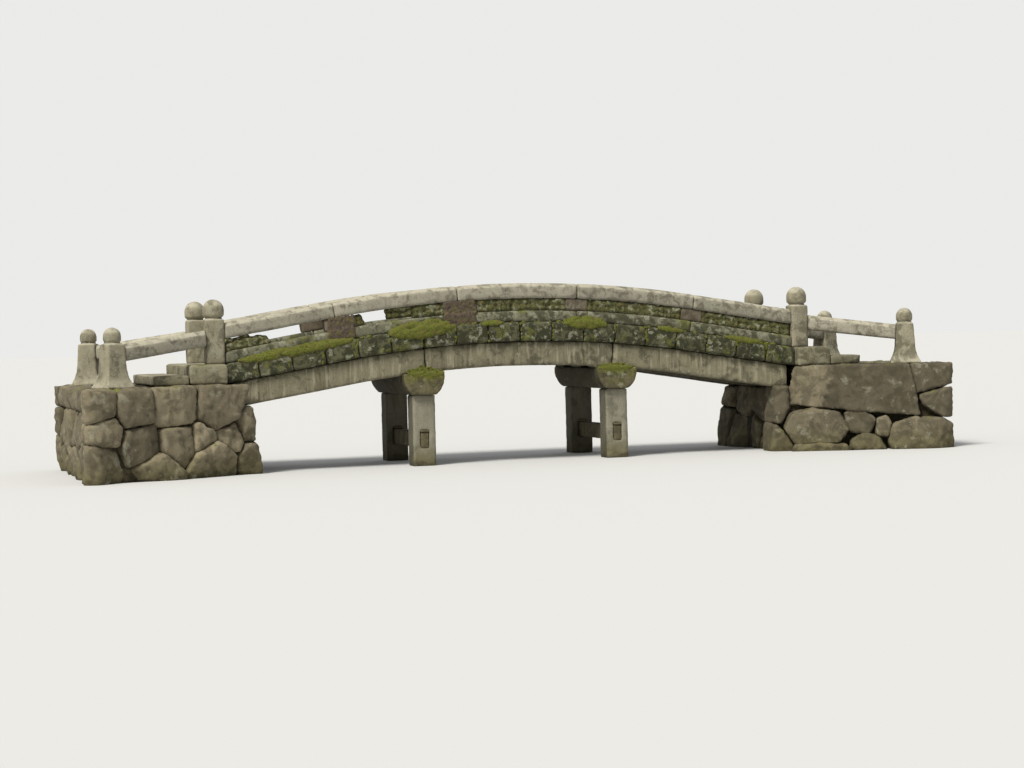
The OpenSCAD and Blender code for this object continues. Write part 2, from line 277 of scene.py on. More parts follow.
# %% Group: rain streaks
streaks, start, end = new_group("Rain streaks", {"Width": 0.03, "Level": 0.52}, ["Mask"])
across = maths("DIVIDE", 1.0, start["Width"])
drawn = put("CombineXYZ", {0: across, 1: across, 2: times(across, 0.09)})
run = put("VectorMath", {0: start["Vector"], 1: drawn.outputs[0]}, operation="MULTIPLY")
field = noise(run.outputs["Vector"], 1.0, 4, 0.6, 0.3)
high = plus(start["Level"], 0.13)
give(end, Mask=rise(field, start["Level"], high))

# %% [markdown]
# ## Height over the walking line
# Dirt gathers a certain distance above or below the deck, and the deck is
# curved. This group turns a place in the object into its height over the
# walking line, by the same two formulas as `walk_z`.

# %% Group: height over the walking line
over_deck, start, end = new_group("Height over the deck", {}, ["Height", "Along", "Across", "Level"])
place = put("SeparateXYZ", {0: start["Vector"]}).outputs
lift = minus(place["Z"], CAMBER_CENTRE)
away = maths("ABSOLUTE", place["X"])
squares = plus(maths("POWER", away, 2.0), maths("POWER", lift, 2.0))
on_arc = minus(maths("SQRT", squares), CAMBER)
on_slope = minus(plus(times(lift, math.cos(SLOPE)), times(away, math.sin(SLOPE))), CAMBER)
past = maths("GREATER_THAN", away, CAMBER_HALF)
give(end, Height=plus(on_arc, times(minus(on_slope, on_arc), past)),
     Along=place["X"], Across=maths("ABSOLUTE", place["Y"]), Level=place["Z"])

# %% [markdown]
# ## Moss
# Moss settles on faces that look up and stay damp. The group takes the surface
# normal, keeps what faces upward, and breaks it up with noise. Its colour runs
# from dark olive in the hollows to yellow-green on the tufts.

# %% Group: moss
moss_bed, start, end = new_group(
    "Moss bed", {"Normal": None, "Amount": 0.5, "Any face": 0.0}, ["Mask", "Colour", "Height"])
up = put("SeparateXYZ", {0: start["Normal"]}).outputs["Z"]
facing = maths("MAXIMUM", rise(up, 0.25, 0.8), start["Any face"])
patch = noise(start["Vector"], 5.5, 5, 0.62, 0.4)
wanted = minus(0.78, times(start["Amount"], 0.5))
patch = rise(patch, wanted, plus(wanted, 0.1))
tufts = noise(start["Vector"], 85, 3, 0.6)
clumps = noise(start["Vector"], 13, 3, 0.5)
green = mix(rise(tufts, 0.35, 0.66), shade(60, 66, 26), shade(128, 132, 58))
green = mix(rise(clumps, 0.45, 0.62), green, shade(98, 94, 52))
give(end, Mask=times(patch, facing), Colour=green, Height=tufts)
print("groups:", [g.name for g in bpy.data.node_groups])

# %% [markdown]
# ## One chain for every dressed stone
# All the dressed stones came from the same kind of quarry, so one function
# wires the groups in the same order: crystals, the block's own tone, streaks,
# blotches, pale lichen, paler arrises and painted shade in the hollows, moss,
# and painted shade under the deck. Each material then has its own colours and
# amounts. The attributes `tone` and `worn` are written to the meshes later: a
# number for each block, and how sharply the surface turns, which sets both the
# paler arrises and the painted shade in the hollows.

# %% Dressed stone material
LICHEN = shade(148, 147, 127)
PAINTED_HOLLOW_SHADE = shade(48, 46, 33)
UNDER_DECK_SHADE_COLOUR = shade(44, 41, 27)


def dressed(name, colour, grain=0.0045, contrast=0.35, streak=None, streak_width=0.06,
            streak_amount=0.0, dark=shade(56, 54, 39), dark_level=0.56, dark_amount=0.6,
            dark_size=0.16, lichen=0.16, lichen_size=0.035, crust_level=0.6, crust_size=0.13,
            crust_amount=0.7, moss=0.25, any_face=0.0, under_deck_shade=0.0, relief=0.5, walked=0.0,
            shape=None):
    material = blank_material(name)
    spot = put("TexCoord").outputs["Object"]
    normal = put("NewGeometry").outputs["Normal"]
    block = put("Attribute", attribute_name="tone").outputs["Fac"]
    turn = put("Attribute", attribute_name="worn").outputs["Fac"]
    where = use(over_deck, {"Vector": spot})
    up = put("SeparateXYZ", {0: normal}).outputs["Z"]
    facing = maths("ABSOLUTE", up)
    feet = times(rise(facing, 0.6, 0.9), rise(where["Across"], 0.66, 0.45))
    grown = minus(1.0, times(feet, walked))

    stone = use(crystals, {"Vector": spot, "Colour": colour, "Grain": grain, "Contrast": contrast})
    seen = put("VectorMath", {0: stone["Colour"], "Scale": block}, operation="SCALE").outputs[0]
    height = stone["Height"]
    if shape:
        seen, height = shape(spot, up, where, seen, height)
    if streak_amount:
        wide = mask_of(streaks, spot, Width=streak_width, Level=0.5)
        fine = mask_of(streaks, spot, Width=streak_width * 0.3, Level=0.52)
        upright = rise(facing, 0.7, 0.4)
        mask = times(times_plus(fine, 0.4, wide), upright)
        some = rise(noise(spot, 1.7, 3), 0.4, 0.62)
        mask = times(mask, times_plus(some, 0.75, 0.25))
        seen = mix(maths("MULTIPLY", mask, streak_amount, clamp=True), seen, streak)
    # Painted shade towards the right end: the dark blotches spread further there.
    shaded_right_end = rise(where["Along"], -2.4, 0.2)
    level = minus(dark_level, times(shaded_right_end, 0.05))
    mask = times(mask_of(blotches, spot, Size=dark_size, Edge=0.07, Level=level), grown)
    seen = coat(seen, mask, dark_amount, dark)
    mask = times(mask_of(lichen_crust, spot, Size=crust_size, Level=crust_level), grown)
    seen = coat(seen, mask, crust_amount, LICHEN)
    height = times_plus(mask, 0.3, height)
    small = mask_of(rosettes, spot, Size=lichen_size, Cover=lichen)
    seen = coat(seen, small, 0.6, LICHEN)

    paler_arris = tuple(min(1.0, c * 1.35) for c in colour[:3]) + (1.0,)
    # The arrises, where the surface turns outward, are made paler.
    seen = coat(seen, rise(turn, 0.03, 0.28), 0.3, paler_arris)
    # Painted shade in the hollows, where the surface turns inward.
    seen = coat(seen, rise(turn, -0.02, -0.2), 0.6, PAINTED_HOLLOW_SHADE)
    bed = use(moss_bed, {"Vector": spot, "Normal": normal, "Amount": moss, "Any face": any_face})
    seen = coat(seen, bed["Mask"], grown, bed["Colour"])
    # Painted shade under the deck, together with the damp there: darker inside the outer faces and well
    # below the walking line.
    if under_deck_shade:
        ragged = times_plus(noise(spot, 8, 4), 0.08, where["Across"])
        shade_under_deck = times(rise(ragged, under_deck_shade + 0.05, under_deck_shade), rise(where["Height"], -0.22, -0.3))
        seen = coat(seen, shade_under_deck, 0.62, UNDER_DECK_SHADE_COLOUR)
    height = times_plus(times(bed["Mask"], bed["Height"]), 1.2, height)
    surface(seen, height, 0.92, relief, 0.25)
    return material


# %% [markdown]
# ## What is special about each stone
# A column darkens towards its foot, where the damp climbs. A girder has painted
# shade only along its top, under the slabs, and is streaked below. The rails are
# washed pale on top, with painted sunlight there too. The slabs' edges are nearly
# black with old growth, but the surface that carries the feet is worn clean.
# These are small functions that the chain calls right after the crystals.

# %% Finishes for single kinds of stone
def damp_foot(spot, up, where, seen, height):
    """Damp growth and silt from the foot up."""
    ragged = times_plus(noise(spot, 9, 4), 0.3, where["Level"])
    seen = coat(seen, rise(ragged, 0.52, 0.2), 0.8, shade(98, 92, 64))
    return coat(seen, rise(ragged, 0.24, 0.16), 0.75, shade(62, 58, 40)), height


def eave_shade_and_runs(spot, up, where, seen, height):
    """Painted shade along the top of the girders, under the slabs' overhang, and pale streaks."""
    ragged = times_plus(noise(spot, 14, 4), 0.09, where["Height"])
    # Painted shade in a band under the slabs' overhang.
    seen = coat(seen, rise(ragged, -0.29, -0.2), 0.8, shade(74, 70, 50))
    pale = mask_of(streaks, spot, Width=0.055, Level=0.5)
    return coat(seen, pale, 0.35, shade(178, 170, 146)), height


def green_ends(spot, up, where, seen, height):
    """A mat of moss over the upper half of a cap's ends, where the deck drips."""
    ragged = times_plus(noise(spot, 11, 5, 0.65), 0.24, where["Level"])
    upper = times(rise(ragged, 1.2, 1.25), rise(where["Across"], 0.8, 0.86))
    stems = noise(spot, 95, 3, 0.65)
    green = mix(rise(stems, 0.36, 0.64), shade(64, 66, 30), shade(126, 124, 64))
    green = mix(rise(noise(spot, 14, 3), 0.45, 0.62), green, shade(104, 98, 62))
    height = times_plus(times(stems, upper), 1.2, height)
    return coat(seen, upper, 0.85, green), height


def trodden(spot, up, where, seen, height):
    """Worn and pale along the middle, where the feet go."""
    middle = times(rise(up, 0.6, 0.9), rise(where["Across"], 0.62, 0.4))
    return coat(seen, middle, 0.75, shade(152, 146, 126)), height


def washed_and_sunlit_top(spot, up, where, seen, height):
    """Paler on top: rain cleans the rail there, and sunlight on it is painted in."""
    # Painted sunlight, with the rain's cleaning, on the faces that look up.
    patchy = times(rise(up, 0.2, 0.6), rise(noise(spot, 7, 3), 0.3, 0.5))
    return coat(seen, patchy, 0.65, shade(180, 174, 154)), height


def mossy(name, low, high, grey):
    """Moss itself: dark between the stems, painted shade in its hollows, grey where lichen grows over it.
    """
    material = blank_material(name)
    spot = put("TexCoord").outputs["Object"]
    turn = put("Attribute", attribute_name="worn").outputs["Fac"]
    stems = noise(spot, 130, 3, 0.65)
    clumps = noise(spot, 16, 4, 0.6)
    seen = mix(rise(stems, 0.36, 0.64), low, high)
    seen = mix(rise(clumps, 0.5, 0.66), seen, shade(96, 88, 52))
    # Painted shade in the hollows of the mound.
    seen = coat(seen, rise(turn, -0.02, -0.2), 0.7, shade(38, 38, 20))
    mask = mask_of(blotches, spot, Size=0.09, Level=1 - grey, Edge=0.05)
    seen = coat(seen, mask, 0.75, shade(140, 140, 118))
    surface(seen, stems, 0.98, 0.8, 0.15)
    return material


# %% All the finishes
materials = {
    "girder": dressed("Girder granite", shade(119, 114, 93), streak=shade(78, 71, 52), streak_amount=0.55,
                      dark_level=0.6, crust_level=0.66, moss=0.15, under_deck_shade=0.85, shape=eave_shade_and_runs),
    "column": dressed("Column granite", shade(134, 130, 113), streak=shade(98, 91, 72), streak_amount=0.4,
                      dark_level=0.64, dark_amount=0.4, crust_level=0.64, moss=0.1, under_deck_shade=0.86,
                      shape=damp_foot),
    "tie": dressed("Tie granite", shade(94, 86, 64), streak=shade(60, 54, 38), streak_amount=0.3,
                   dark_level=0.56, crust_level=0.68, moss=0.1, shape=damp_foot),
    "cap": dressed("Cap granite", shade(100, 94, 71), streak=shade(72, 62, 42), streak_amount=0.5,
                   dark_level=0.54, crust_level=0.6, moss=0.5, any_face=0.2, under_deck_shade=0.93,
                   shape=green_ends),
    "slab": dressed("Slab granite", shade(84, 83, 61), dark=shade(42, 43, 28), dark_level=0.5,
                    dark_amount=0.85, dark_size=0.12, crust_level=0.56, crust_size=0.1, lichen=0.28,
                    moss=0.45, any_face=0.55, walked=0.75, shape=trodden),
    "sill": dressed("Sill granite", shade(112, 110, 90), dark=shade(50, 51, 34), dark_level=0.52,
                    dark_amount=0.75, dark_size=0.13, crust_level=0.54, crust_size=0.12, lichen=0.28,
                    moss=0.45, any_face=0.5),
    "rail": dressed("Rail granite", shade(148, 143, 127), streak=shade(98, 88, 73), streak_amount=0.35,
                    dark=shade(70, 64, 50), dark_level=0.57, dark_amount=0.55, dark_size=0.12,
                    crust_level=0.58, lichen=0.22, moss=0.1, shape=washed_and_sunlit_top),
    "post": dressed("Post granite", shade(112, 101, 86), streak=shade(74, 62, 50), streak_amount=0.4,
                    dark_level=0.55, crust_level=0.6, moss=0.1),
    "newel": dressed("Newel granite", shade(142, 136, 115), streak=shade(98, 89, 70), streak_amount=0.3,
                     dark_level=0.57, dark_amount=0.5, crust_level=0.57, moss=0.15, shape=washed_and_sunlit_top),
    "landing": dressed("Landing granite", shade(122, 117, 96), dark_level=0.55, crust_level=0.6, moss=0.45,
                       walked=0.6, shape=trodden),
    "boulder": dressed("Boulder", shade(110, 102, 83), grain=0.005, contrast=0.25, streak=shade(74, 66, 50),
                       streak_width=0.12, streak_amount=0.3, dark=shade(54, 50, 37), dark_level=0.55,
                       dark_amount=0.5, dark_size=0.2, crust_level=0.6, crust_size=0.16, crust_amount=0.45,
                       lichen=0.12, lichen_size=0.05, moss=0.45, relief=0.6, shape=damp_foot),
    # The rubble's dark colour is partly painted shade, for the gaps between the boulders.
    "rubble": dressed("Packed rubble", shade(66, 59, 42), grain=0.02, contrast=0.5, dark=shade(34, 30, 20),
                      dark_level=0.5, crust_level=0.8, lichen=0.0, moss=0.3, relief=1.0),
    "slot moss": mossy("Slot moss", shade(50, 52, 30), shade(98, 98, 64), 0.44),
    "dry growth": mossy("Dry growth", shade(54, 47, 39), shade(106, 94, 81), 0.3),
    "cushion moss": mossy("Cushion moss", shade(56, 61, 24), shade(112, 116, 50), 0.1),
}
print("materials:", sorted(materials))

# %% [markdown]
# ## Working with operators
# An operator acts on all that is selected, so each step starts by selecting
# only what it works on. The modifiers that several steps share, and a copy of a
# CAD stone to work on, are written down here as well.

# %% Selecting, copying and applying
MERGE = 0.0003  # corners of the CAD mesh that are closer than this are one corner


def link(piece):
    bpy.context.scene.collection.objects.link(piece)


def only(*pieces):
    bpy.ops.object.select_all(action="DESELECT")
    for piece in pieces:
        piece.select_set(True)
    bpy.context.view_layer.objects.active = pieces[0]


def edit_all():
    bpy.ops.object.mode_set(mode="EDIT")
    bpy.ops.mesh.select_all(action="SELECT")


def open_copy(node, ending):
    """A copy of a CAD node with its corners merged, left in edit mode with all of it selected."""
    piece = bpy.data.objects.new(node + ending, nodes[node].data.copy())
    link(piece)
    only(piece)
    edit_all()
    bpy.ops.mesh.remove_doubles(threshold=MERGE)
    return piece


def apply_modifiers(piece):
    only(piece)
    for modifier in list(piece.modifiers):
        bpy.ops.object.modifier_apply(modifier=modifier.name)


def add_grid(piece, cell):
    """Rebuilds a mesh as an even grid of small faces."""
    grid = piece.modifiers.new("Grid", "REMESH")
    grid.mode = "VOXEL"
    grid.voxel_size = cell
    grid.use_smooth_shade = True


def add_soften(piece, rounds):
    soften = piece.modifiers.new("Soften", "SMOOTH")
    soften.factor = 0.5
    soften.iterations = rounds


def add_thin(piece, keep):
    """Leaves a share of the triangles, fewest where the surface is flat."""
    piece.modifiers.new("Thin", "DECIMATE").ratio = keep


def lumps(name, size, contrast=1.0):
    """A cloud texture for the Displace modifier."""
    texture = bpy.data.textures.new(name, "CLOUDS")
    texture.noise_scale = size
    texture.noise_depth = 2
    texture.contrast = contrast
    return texture


def push(piece, texture, strength, middle=0.5, group=""):
    """Displaces a piece along its normals by a texture."""
    modifier = piece.modifiers.new(texture.name, "DISPLACE")
    modifier.texture = texture
    modifier.texture_coords = "LOCAL"
    modifier.strength = strength
    modifier.mid_level = middle
    modifier.vertex_group = group


def turns(mesh):
    """How sharply the surface turns at each vertex: above 0 on an arris, below 0 in a hollow."""
    count = len(mesh.vertices)
    at, normal = np.empty(count * 3), np.empty(count * 3)
    ends = np.empty(len(mesh.edges) * 2, int)
    mesh.vertices.foreach_get("co", at)
    mesh.vertex_normals.foreach_get("vector", normal)
    mesh.edges.foreach_get("vertices", ends)
    at, normal, ends = at.reshape(-1, 3), normal.reshape(-1, 3), ends.reshape(-1, 2)
    total, links = np.zeros(count), np.zeros(count)
    for a, b in ((0, 1), (1, 0)):
        step = at[ends[:, b]] - at[ends[:, a]]
        fall = -(step * normal[ends[:, a]]).sum(1) / np.maximum(np.linalg.norm(step, axis=1), 1e-9)
        np.add.at(total, ends[:, a], fall)
        np.add.at(links, ends[:, a], 1)
    return total / np.maximum(links, 1), ends


def spread(values, ends, rounds):
    """Averages a value with its neighbours' a few times."""
    for _ in range(rounds):
        total, links = values.copy(), np.ones(len(values))
        for a, b in ((0, 1), (1, 0)):
            np.add.at(total, ends[:, a], values[ends[:, b]])
            np.add.at(links, ends[:, a], 1)
        values = total / links
    return values


def write_attribute(mesh, name, values):
    layer = mesh.attributes.get(name) or mesh.attributes.new(name, "FLOAT", "POINT")
    every = np.broadcast_to(np.float32(values), len(mesh.vertices))
    layer.data.foreach_set("value", every.astype(np.float32))


def mark_turns(piece, strength=1.0):
    """Writes the turn of the surface into the attribute that the materials read."""
    bend, ends = turns(piece.data)
    write_attribute(piece.data, "worn", spread(bend, ends, 1) * strength)


# %% [markdown]
# ## Weathering a dressed stone
# Long years outdoors round every arris and knock small pieces off it, while the
# flat faces only grow a little uneven. A plain bevel would round all edges
# alike. Here each stone is remeshed into a fine even grid, softened once, and
# then pushed in by cloud textures: lightly all over, and deeper where the
# surface turns, which is exactly on the arrises. A Decimate modifier then
# gives the flat faces their triangles back.

# %% Weather the dressed stones
waves = lumps("Slow waves", 0.35)
dents = lumps("Dents", 0.07, contrast=1.6)
grit = lumps("Grit", 0.02)
tones = random.Random(11)
SHARP = 0.25  # a turn that counts as a full arris
DEEPEST_CHIP = 0.019
slab_joints = []  # where one slab ends and the next begins, for the moss in between


def wear(stone, cell):
    add_grid(stone, cell)
    add_soften(stone, 1)
    apply_modifiers(stone)
    bend, ends = turns(stone.data)
    weight = spread(np.clip(bend / SHARP, 0, 1), ends, 2)
    arris = stone.vertex_groups.new(name="arris")
    for level in range(1, 11):
        chosen = np.nonzero(np.round(weight * 10) == level)[0]
        if len(chosen):
            arris.add(chosen.tolist(), level / 10, "REPLACE")
    push(stone, waves, 0.008)
    push(stone, dents, min(cell * 1.3, DEEPEST_CHIP), middle=0.95, group="arris")
    push(stone, grit, 0.0025)
    add_thin(stone, 0.4)
    apply_modifiers(stone)
    stone.vertex_groups.clear()
    mark_turns(stone)
    write_attribute(stone.data, "tone", tones.uniform(0.88, 1.12))


def weathered(node, cell):
    """A worn copy of a CAD node, made stone by stone and joined again."""
    piece = open_copy(node, "_stone")
    bpy.ops.mesh.separate(type="LOOSE")
    bpy.ops.object.mode_set(mode="OBJECT")
    stones = list(bpy.context.selected_objects)
    for stone in stones:
        if node.startswith("deck"):
            slab_joints.append(min(corner.co.x for corner in stone.data.vertices))
        wear(stone, cell)
    only(piece, *stones)
    if len(stones) > 1:
        bpy.ops.object.join()
    bpy.ops.object.shade_smooth()
    return piece


def finish_piece(piece, finish, slot, *replaced):
    """Gives a piece its material, attaches it to the root body and hides the nodes it replaces."""
    piece.data.materials.clear()
    piece.data.materials.append(materials[finish])
    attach(piece, "root")
    if replaced:
        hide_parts(*replaced)


kinds = {  # prefix: grid size, finish, slot
    "column": (0.013, "column", "pier_granite"),
    "tie": (0.013, "tie", "pier_granite"),
    "cap": (0.014, "cap", "pier_granite"),
    "girders": (0.02, "girder", "girder_granite"),
    "deck": (0.02, "slab", "deck_granite"),
    "sill": (0.015, "sill", "deck_granite"),
    "post": (0.013, "post", "parapet_granite"),
    "rail": (0.014, "rail", "parapet_granite"),
    "wing_rail": (0.014, "rail", "parapet_granite"),
    "newel": (0.011, "newel", "parapet_granite"),
    "end_post": (0.011, "newel", "parapet_granite"),
    "landing": (0.02, "landing", "deck_granite"),
    "step": (0.02, "landing", "deck_granite"),
    "wedges": (0.007, "tie", "pier_granite"),
}
faces = 0
for node in sorted(n for n in nodes if not n.startswith("abutment")):
    cell, finish, slot = kinds[next(k for k in sorted(kinds, reverse=True) if node.startswith(k))]
    piece = weathered(node, cell)
    finish_piece(piece, finish, slot, node)
    faces += sum(len(p.vertices) - 2 for p in piece.data.polygons)
print("dressed stones:", faces, "triangles")

# %% [markdown]
# ## The heart of an abutment
# Behind the boulders lies packed rubble. It shows only as the dark ground of
# the gaps, its own colour with the gaps' shade painted in, and as the floor
# between the wings. So the sides of the CAD block are drawn in by a hand's width
# and dented, while its top and its bearing shelf stay where the landing and the
# girders rest on them.

# %% Draw in the sides of the rubble
HEART_X = 4.65  # the middle of an abutment
HEART_SIZE = (0.92, 0.94, 1)
HEART_GRID = 0.04
hollows = lumps("Hollows", 0.22, contrast=1.3)


def rubble_heart(node):
    piece = open_copy(node, "_heart")
    middle = HEART_X if node.endswith("right") else -HEART_X
    bpy.ops.transform.resize(value=HEART_SIZE, center_override=(middle, 0, 0))
    bpy.ops.object.mode_set(mode="OBJECT")
    add_grid(piece, HEART_GRID)
    push(piece, hollows, 0.03, middle=0.9)
    push(piece, dents, 0.012, middle=0.9)
    apply_modifiers(piece)
    write_attribute(piece.data, "tone", 1.0)
    write_attribute(piece.data, "worn", 0.0)
    finish_piece(piece, "rubble", "abutment_stone", node)
    return piece


for side in ("left", "right"):
    print("heart:", len(rubble_heart("abutment_" + side).data.polygons), "faces")

# %% [markdown]
# ## Cutting a boulder
# The facing is field stone, laid as it came: worn round, split flat in places,
# each one fitted to the next. Scattering balls gives a heap, not a wall. So
# every stone starts as a cube that planes cut down, as a chisel would: the
# faces of the abutment, the planes halfway to its neighbours, and a few flats
# of its own. A voxel remesh and many rounds of smoothing then wear the block
# round, and cloud textures roughen it.

# %% Cut and round a stone
swell = lumps("Swell", 0.3)
crust = lumps("Crust", 0.075, contrast=1.3)
pitting = lumps("Pitting", 0.03)
BOULDER_GRID = 0.024


def cut_block(centre, reach, planes):
    """A cube cut down by planes, each a point and the direction it cuts away."""
    bpy.ops.object.select_all(action="DESELECT")
    bpy.ops.mesh.primitive_cube_add(size=2 * reach, location=centre)
    stone = bpy.context.object
    bpy.ops.object.transform_apply(location=True, rotation=False, scale=False)
    bpy.ops.object.mode_set(mode="EDIT")
    for point, away in planes:
        bpy.ops.mesh.select_all(action="SELECT")
        bpy.ops.mesh.bisect(plane_co=point, plane_no=away, use_fill=True, clear_outer=True)
    bpy.ops.object.mode_set(mode="OBJECT")
    return stone


def wear_round(stone, rounds, tone):
    add_grid(stone, BOULDER_GRID)
    add_soften(stone, rounds)
    push(stone, swell, 0.05)
    push(stone, crust, 0.02, middle=0.6)
    push(stone, pitting, 0.006)
    add_thin(stone, 0.5)
    apply_modifiers(stone)
    write_attribute(stone.data, "tone", tone)


# %% [markdown]
# ## The faces of the abutment
# The abutment leans in a little on three sides and splays with the wings. Each
# face is kept as a point and a direction. The wall is worked out for the right
# end; the left end is its mirror image with stones of its own. The two corners
# at the tail are blunted, because no field stone is that sharp.

# %% Faces of the right-hand abutment
ABUTMENT_X = 3.6
BACK_WALL_X = 3.81  # the wall behind the girders' ends
TAIL_X = 5.744
TOP = walk_z(DECK_HALF, -0.25)
SHELF = walk_z(ABUTMENT_X, -0.57)
LEAN = 0.11
SPLAY = math.radians(22)
UP = Vector((0, 0, 1))
BACK = Vector((1, 0, 0))  # towards the tail, away from the spans
ALONG = Vector((math.cos(SPLAY), -math.sin(SPLAY), 0))
OUT = Vector((-math.sin(SPLAY), -math.cos(SPLAY), 0))
FAR_OUT = Vector((OUT.x, -OUT.y, 0))
WING_X = 4.0  # where the wing turns off the line of the parapet
FLANK_OUT = 0.33  # from the wing's line to the edge of the flank
EDGE = Vector((WING_X, -PARAPET_Y, 0)) + OUT * FLANK_OUT


def leaning(point, out, height):
    """A face that passes a point of its top edge and leans back as it rises."""
    tilt = math.atan(LEAN / height)
    return Vector((point.x, point.y, height)), out * math.cos(tilt) + UP * math.sin(tilt)


near_face = leaning(EDGE, OUT, TOP)
far_face = leaning(Vector((EDGE.x, -EDGE.y, 0)), FAR_OUT, TOP)
front_face = leaning(BACK * ABUTMENT_X, -BACK, SHELF)
back_face = (BACK * TAIL_X, BACK)
back_wall = (BACK * BACK_WALL_X, -BACK)
top_face = (UP * TOP, UP)
foot_face = (UP * -0.04, -UP)  # a little too low: the joined wall is cut off at 0
shelf_below, shelf_above = (UP * (SHELF - 0.004), UP), (UP * (SHELF + 0.004), -UP)
girder_side = (Vector((0, -0.95, 0)), Vector((0, 1, 0)))  # keeps a stone off the girder
PROUD = 0.03  # how far a stone may stand out of its face
CORNER_OUT = 0.05
CORNER_TURN = 1.4
corner = EDGE + ALONG * ((TAIL_X - EDGE.x) / ALONG.x) + OUT * CORNER_OUT
near_corner = (corner, (OUT * CORNER_TURN + back_face[1]).normalized())
far_corner = (Vector((corner.x, -corner.y, 0)), (FAR_OUT * CORNER_TURN + back_face[1]).normalized())


def moved(face, out):
    """The same face, moved out by a distance."""
    return face[0] + face[1] * out, face[1]


def on_flank(x, z, out=0.05):
    """A place on the near flank, from its distance along the bridge and its height."""
    run = (x - EDGE.x - OUT.x * out) / ALONG.x
    place = EDGE + ALONG * run + OUT * out
    return Vector((place.x, place.y, z))


# %% [markdown]
# ## The stones that show
# At the right end the photograph shows the near flank clearly: one big flat
# slab leaning over a round boulder, with smaller stones wedged below it. Those
# are listed one by one, each as the outline that it shows. An outline becomes
# planes at right angles to the flank.

# %% Lay the stones of the right near flank
# The tones are each stone's own colour with painted shade in the darkest ones and painted light in the
# palest.
shown_stones = {  # outline as X and height, how far it stands out, rounds of wear, tone
    "leaning slab": (
        [(3.73, 0.6), (3.74, 0.98), (3.86, 1.2), (5.22, 1.18), (5.36, 0.41), (4.42, 0.53)], 0.1, 3, 0.62),
    "round boulder": (
        [(3.64, 0.3), (3.72, 0.5), (3.98, 0.58), (4.34, 0.53), (4.47, 0.28), (4.34, 0.09), (3.8, 0.07)],
        0.17, 12, 0.9),
    "wedged stone": ([(4.39, 0.52), (4.46, 0.24), (4.7, 0.2), (4.81, 0.4), (4.64, 0.55)], 0.08, 8, 0.66),
    "small pale stone": (
        [(4.79, 0.18), (4.8, 0.42), (4.92, 0.47), (4.99, 0.36), (4.95, 0.16)], 0.09, 6, 1.25),
    "tail boulder": (
        [(4.93, 0.12), (5.0, 0.34), (5.24, 0.44), (5.62, 0.4), (5.9, 0.22), (5.9, -0.05), (4.98, -0.05)],
        0.12, 12, 1.0),
    "low stone": ([(4.42, -0.05), (4.48, 0.14), (4.66, 0.23), (4.84, 0.17), (4.95, -0.05)], 0.12, 9, 0.9),
    "ledge stone": ([(3.7, -0.05), (3.78, 0.1), (4.1, 0.13), (4.42, 0.09), (4.5, -0.05)], 0.18, 7, 1.35),
    "corner top": ([(3.4, 0.4), (3.4, SHELF), (3.72, SHELF), (3.74, 0.58), (3.63, 0.36)], 0.04, 9, 0.66),
    "corner foot": (
        [(3.3, -0.05), (3.3, 0.4), (3.56, 0.37), (3.67, 0.26), (3.79, 0.06), (3.72, -0.05)], 0.07, 12, 0.6),
    "tail middle": ([(5.39, 0.43), (5.33, 0.72), (5.9, 0.86), (5.9, 0.24), (5.62, 0.42)], 0.06, 10, 0.7),
    "tail top": ([(5.3, 0.74), (5.24, 1.17), (5.9, 1.17), (5.9, 0.9)], 0.03, 9, 0.62),
}
slab_facet = (on_flank(4.12, 0.94, 0.12), (OUT - ALONG * 0.38 + UP * 0.2).normalized())
FACET_EDGE = 0.035
# How much paler the facet is: painted light, as on a face turned to the lamp.
FACET_PAINTED_LIGHT = 1.8
FACING = 0.32  # how deep the stones reach into the wall
FLARE = 0.05  # joints widen a little towards the face
OVERSIZE = 0.004  # wear makes a stone smaller, so its outline is cut this much too big


def flank_limits(proud, beside_girder):
    """The planes that every stone of the near flank shares."""
    limits = [moved(near_face, proud), (near_face[0] - near_face[1] * FACING, -near_face[1]),
              moved(front_face, PROUD), moved(back_face, PROUD), near_corner, top_face, foot_face]
    return limits + [girder_side] * beside_girder


def lay_shown(_):
    """Cuts the stones of the list. All is measured, so no random draws are needed."""
    laid = []
    for name, (outline, proud, rounds, tone) in shown_stones.items():
        middle = sum((on_flank(x, z) for x, z in outline), Vector()) / len(outline)
        planes = flank_limits(proud, name == "leaning slab")
        for (x0, z0), (x1, z1) in zip(outline, outline[1:] + outline[:1]):
            side = ALONG * (z1 - z0) - UP * ((x1 - x0) / ALONG.x)
            away = side.normalized()
            if away.dot(middle - on_flank(x0, z0)) > 0:
                away = -away
            planes.append((on_flank(x0, z0) + away * OVERSIZE, (away + OUT * FLARE).normalized()))
        if name == "leaning slab":
            planes.append(slab_facet)
        stone = cut_block(middle, 1.4, planes)
        wear_round(stone, rounds, tone)
        if name == "leaning slab":
            # Painted light: the facet of the leaning slab is made paler than the rest of the stone.
            heights = [(corner.co - slab_facet[0]).dot(slab_facet[1]) for corner in stone.data.vertices]
            tones_with_facet_light = [tone * FACET_PAINTED_LIGHT if h > -FACET_EDGE else tone for h in heights]
            write_attribute(stone.data, "tone", tones_with_facet_light)
        laid.append(stone)
    return laid


# %% [markdown]
# ## The stones of the left flank
# The left end shows its near flank less clearly, so only the middle and the
# size of each stone were read off. That is enough for another way to cut them:
# each stone takes all the space that is nearer to its own middle than to any
# other, and a bigger radius wins it a bigger share.

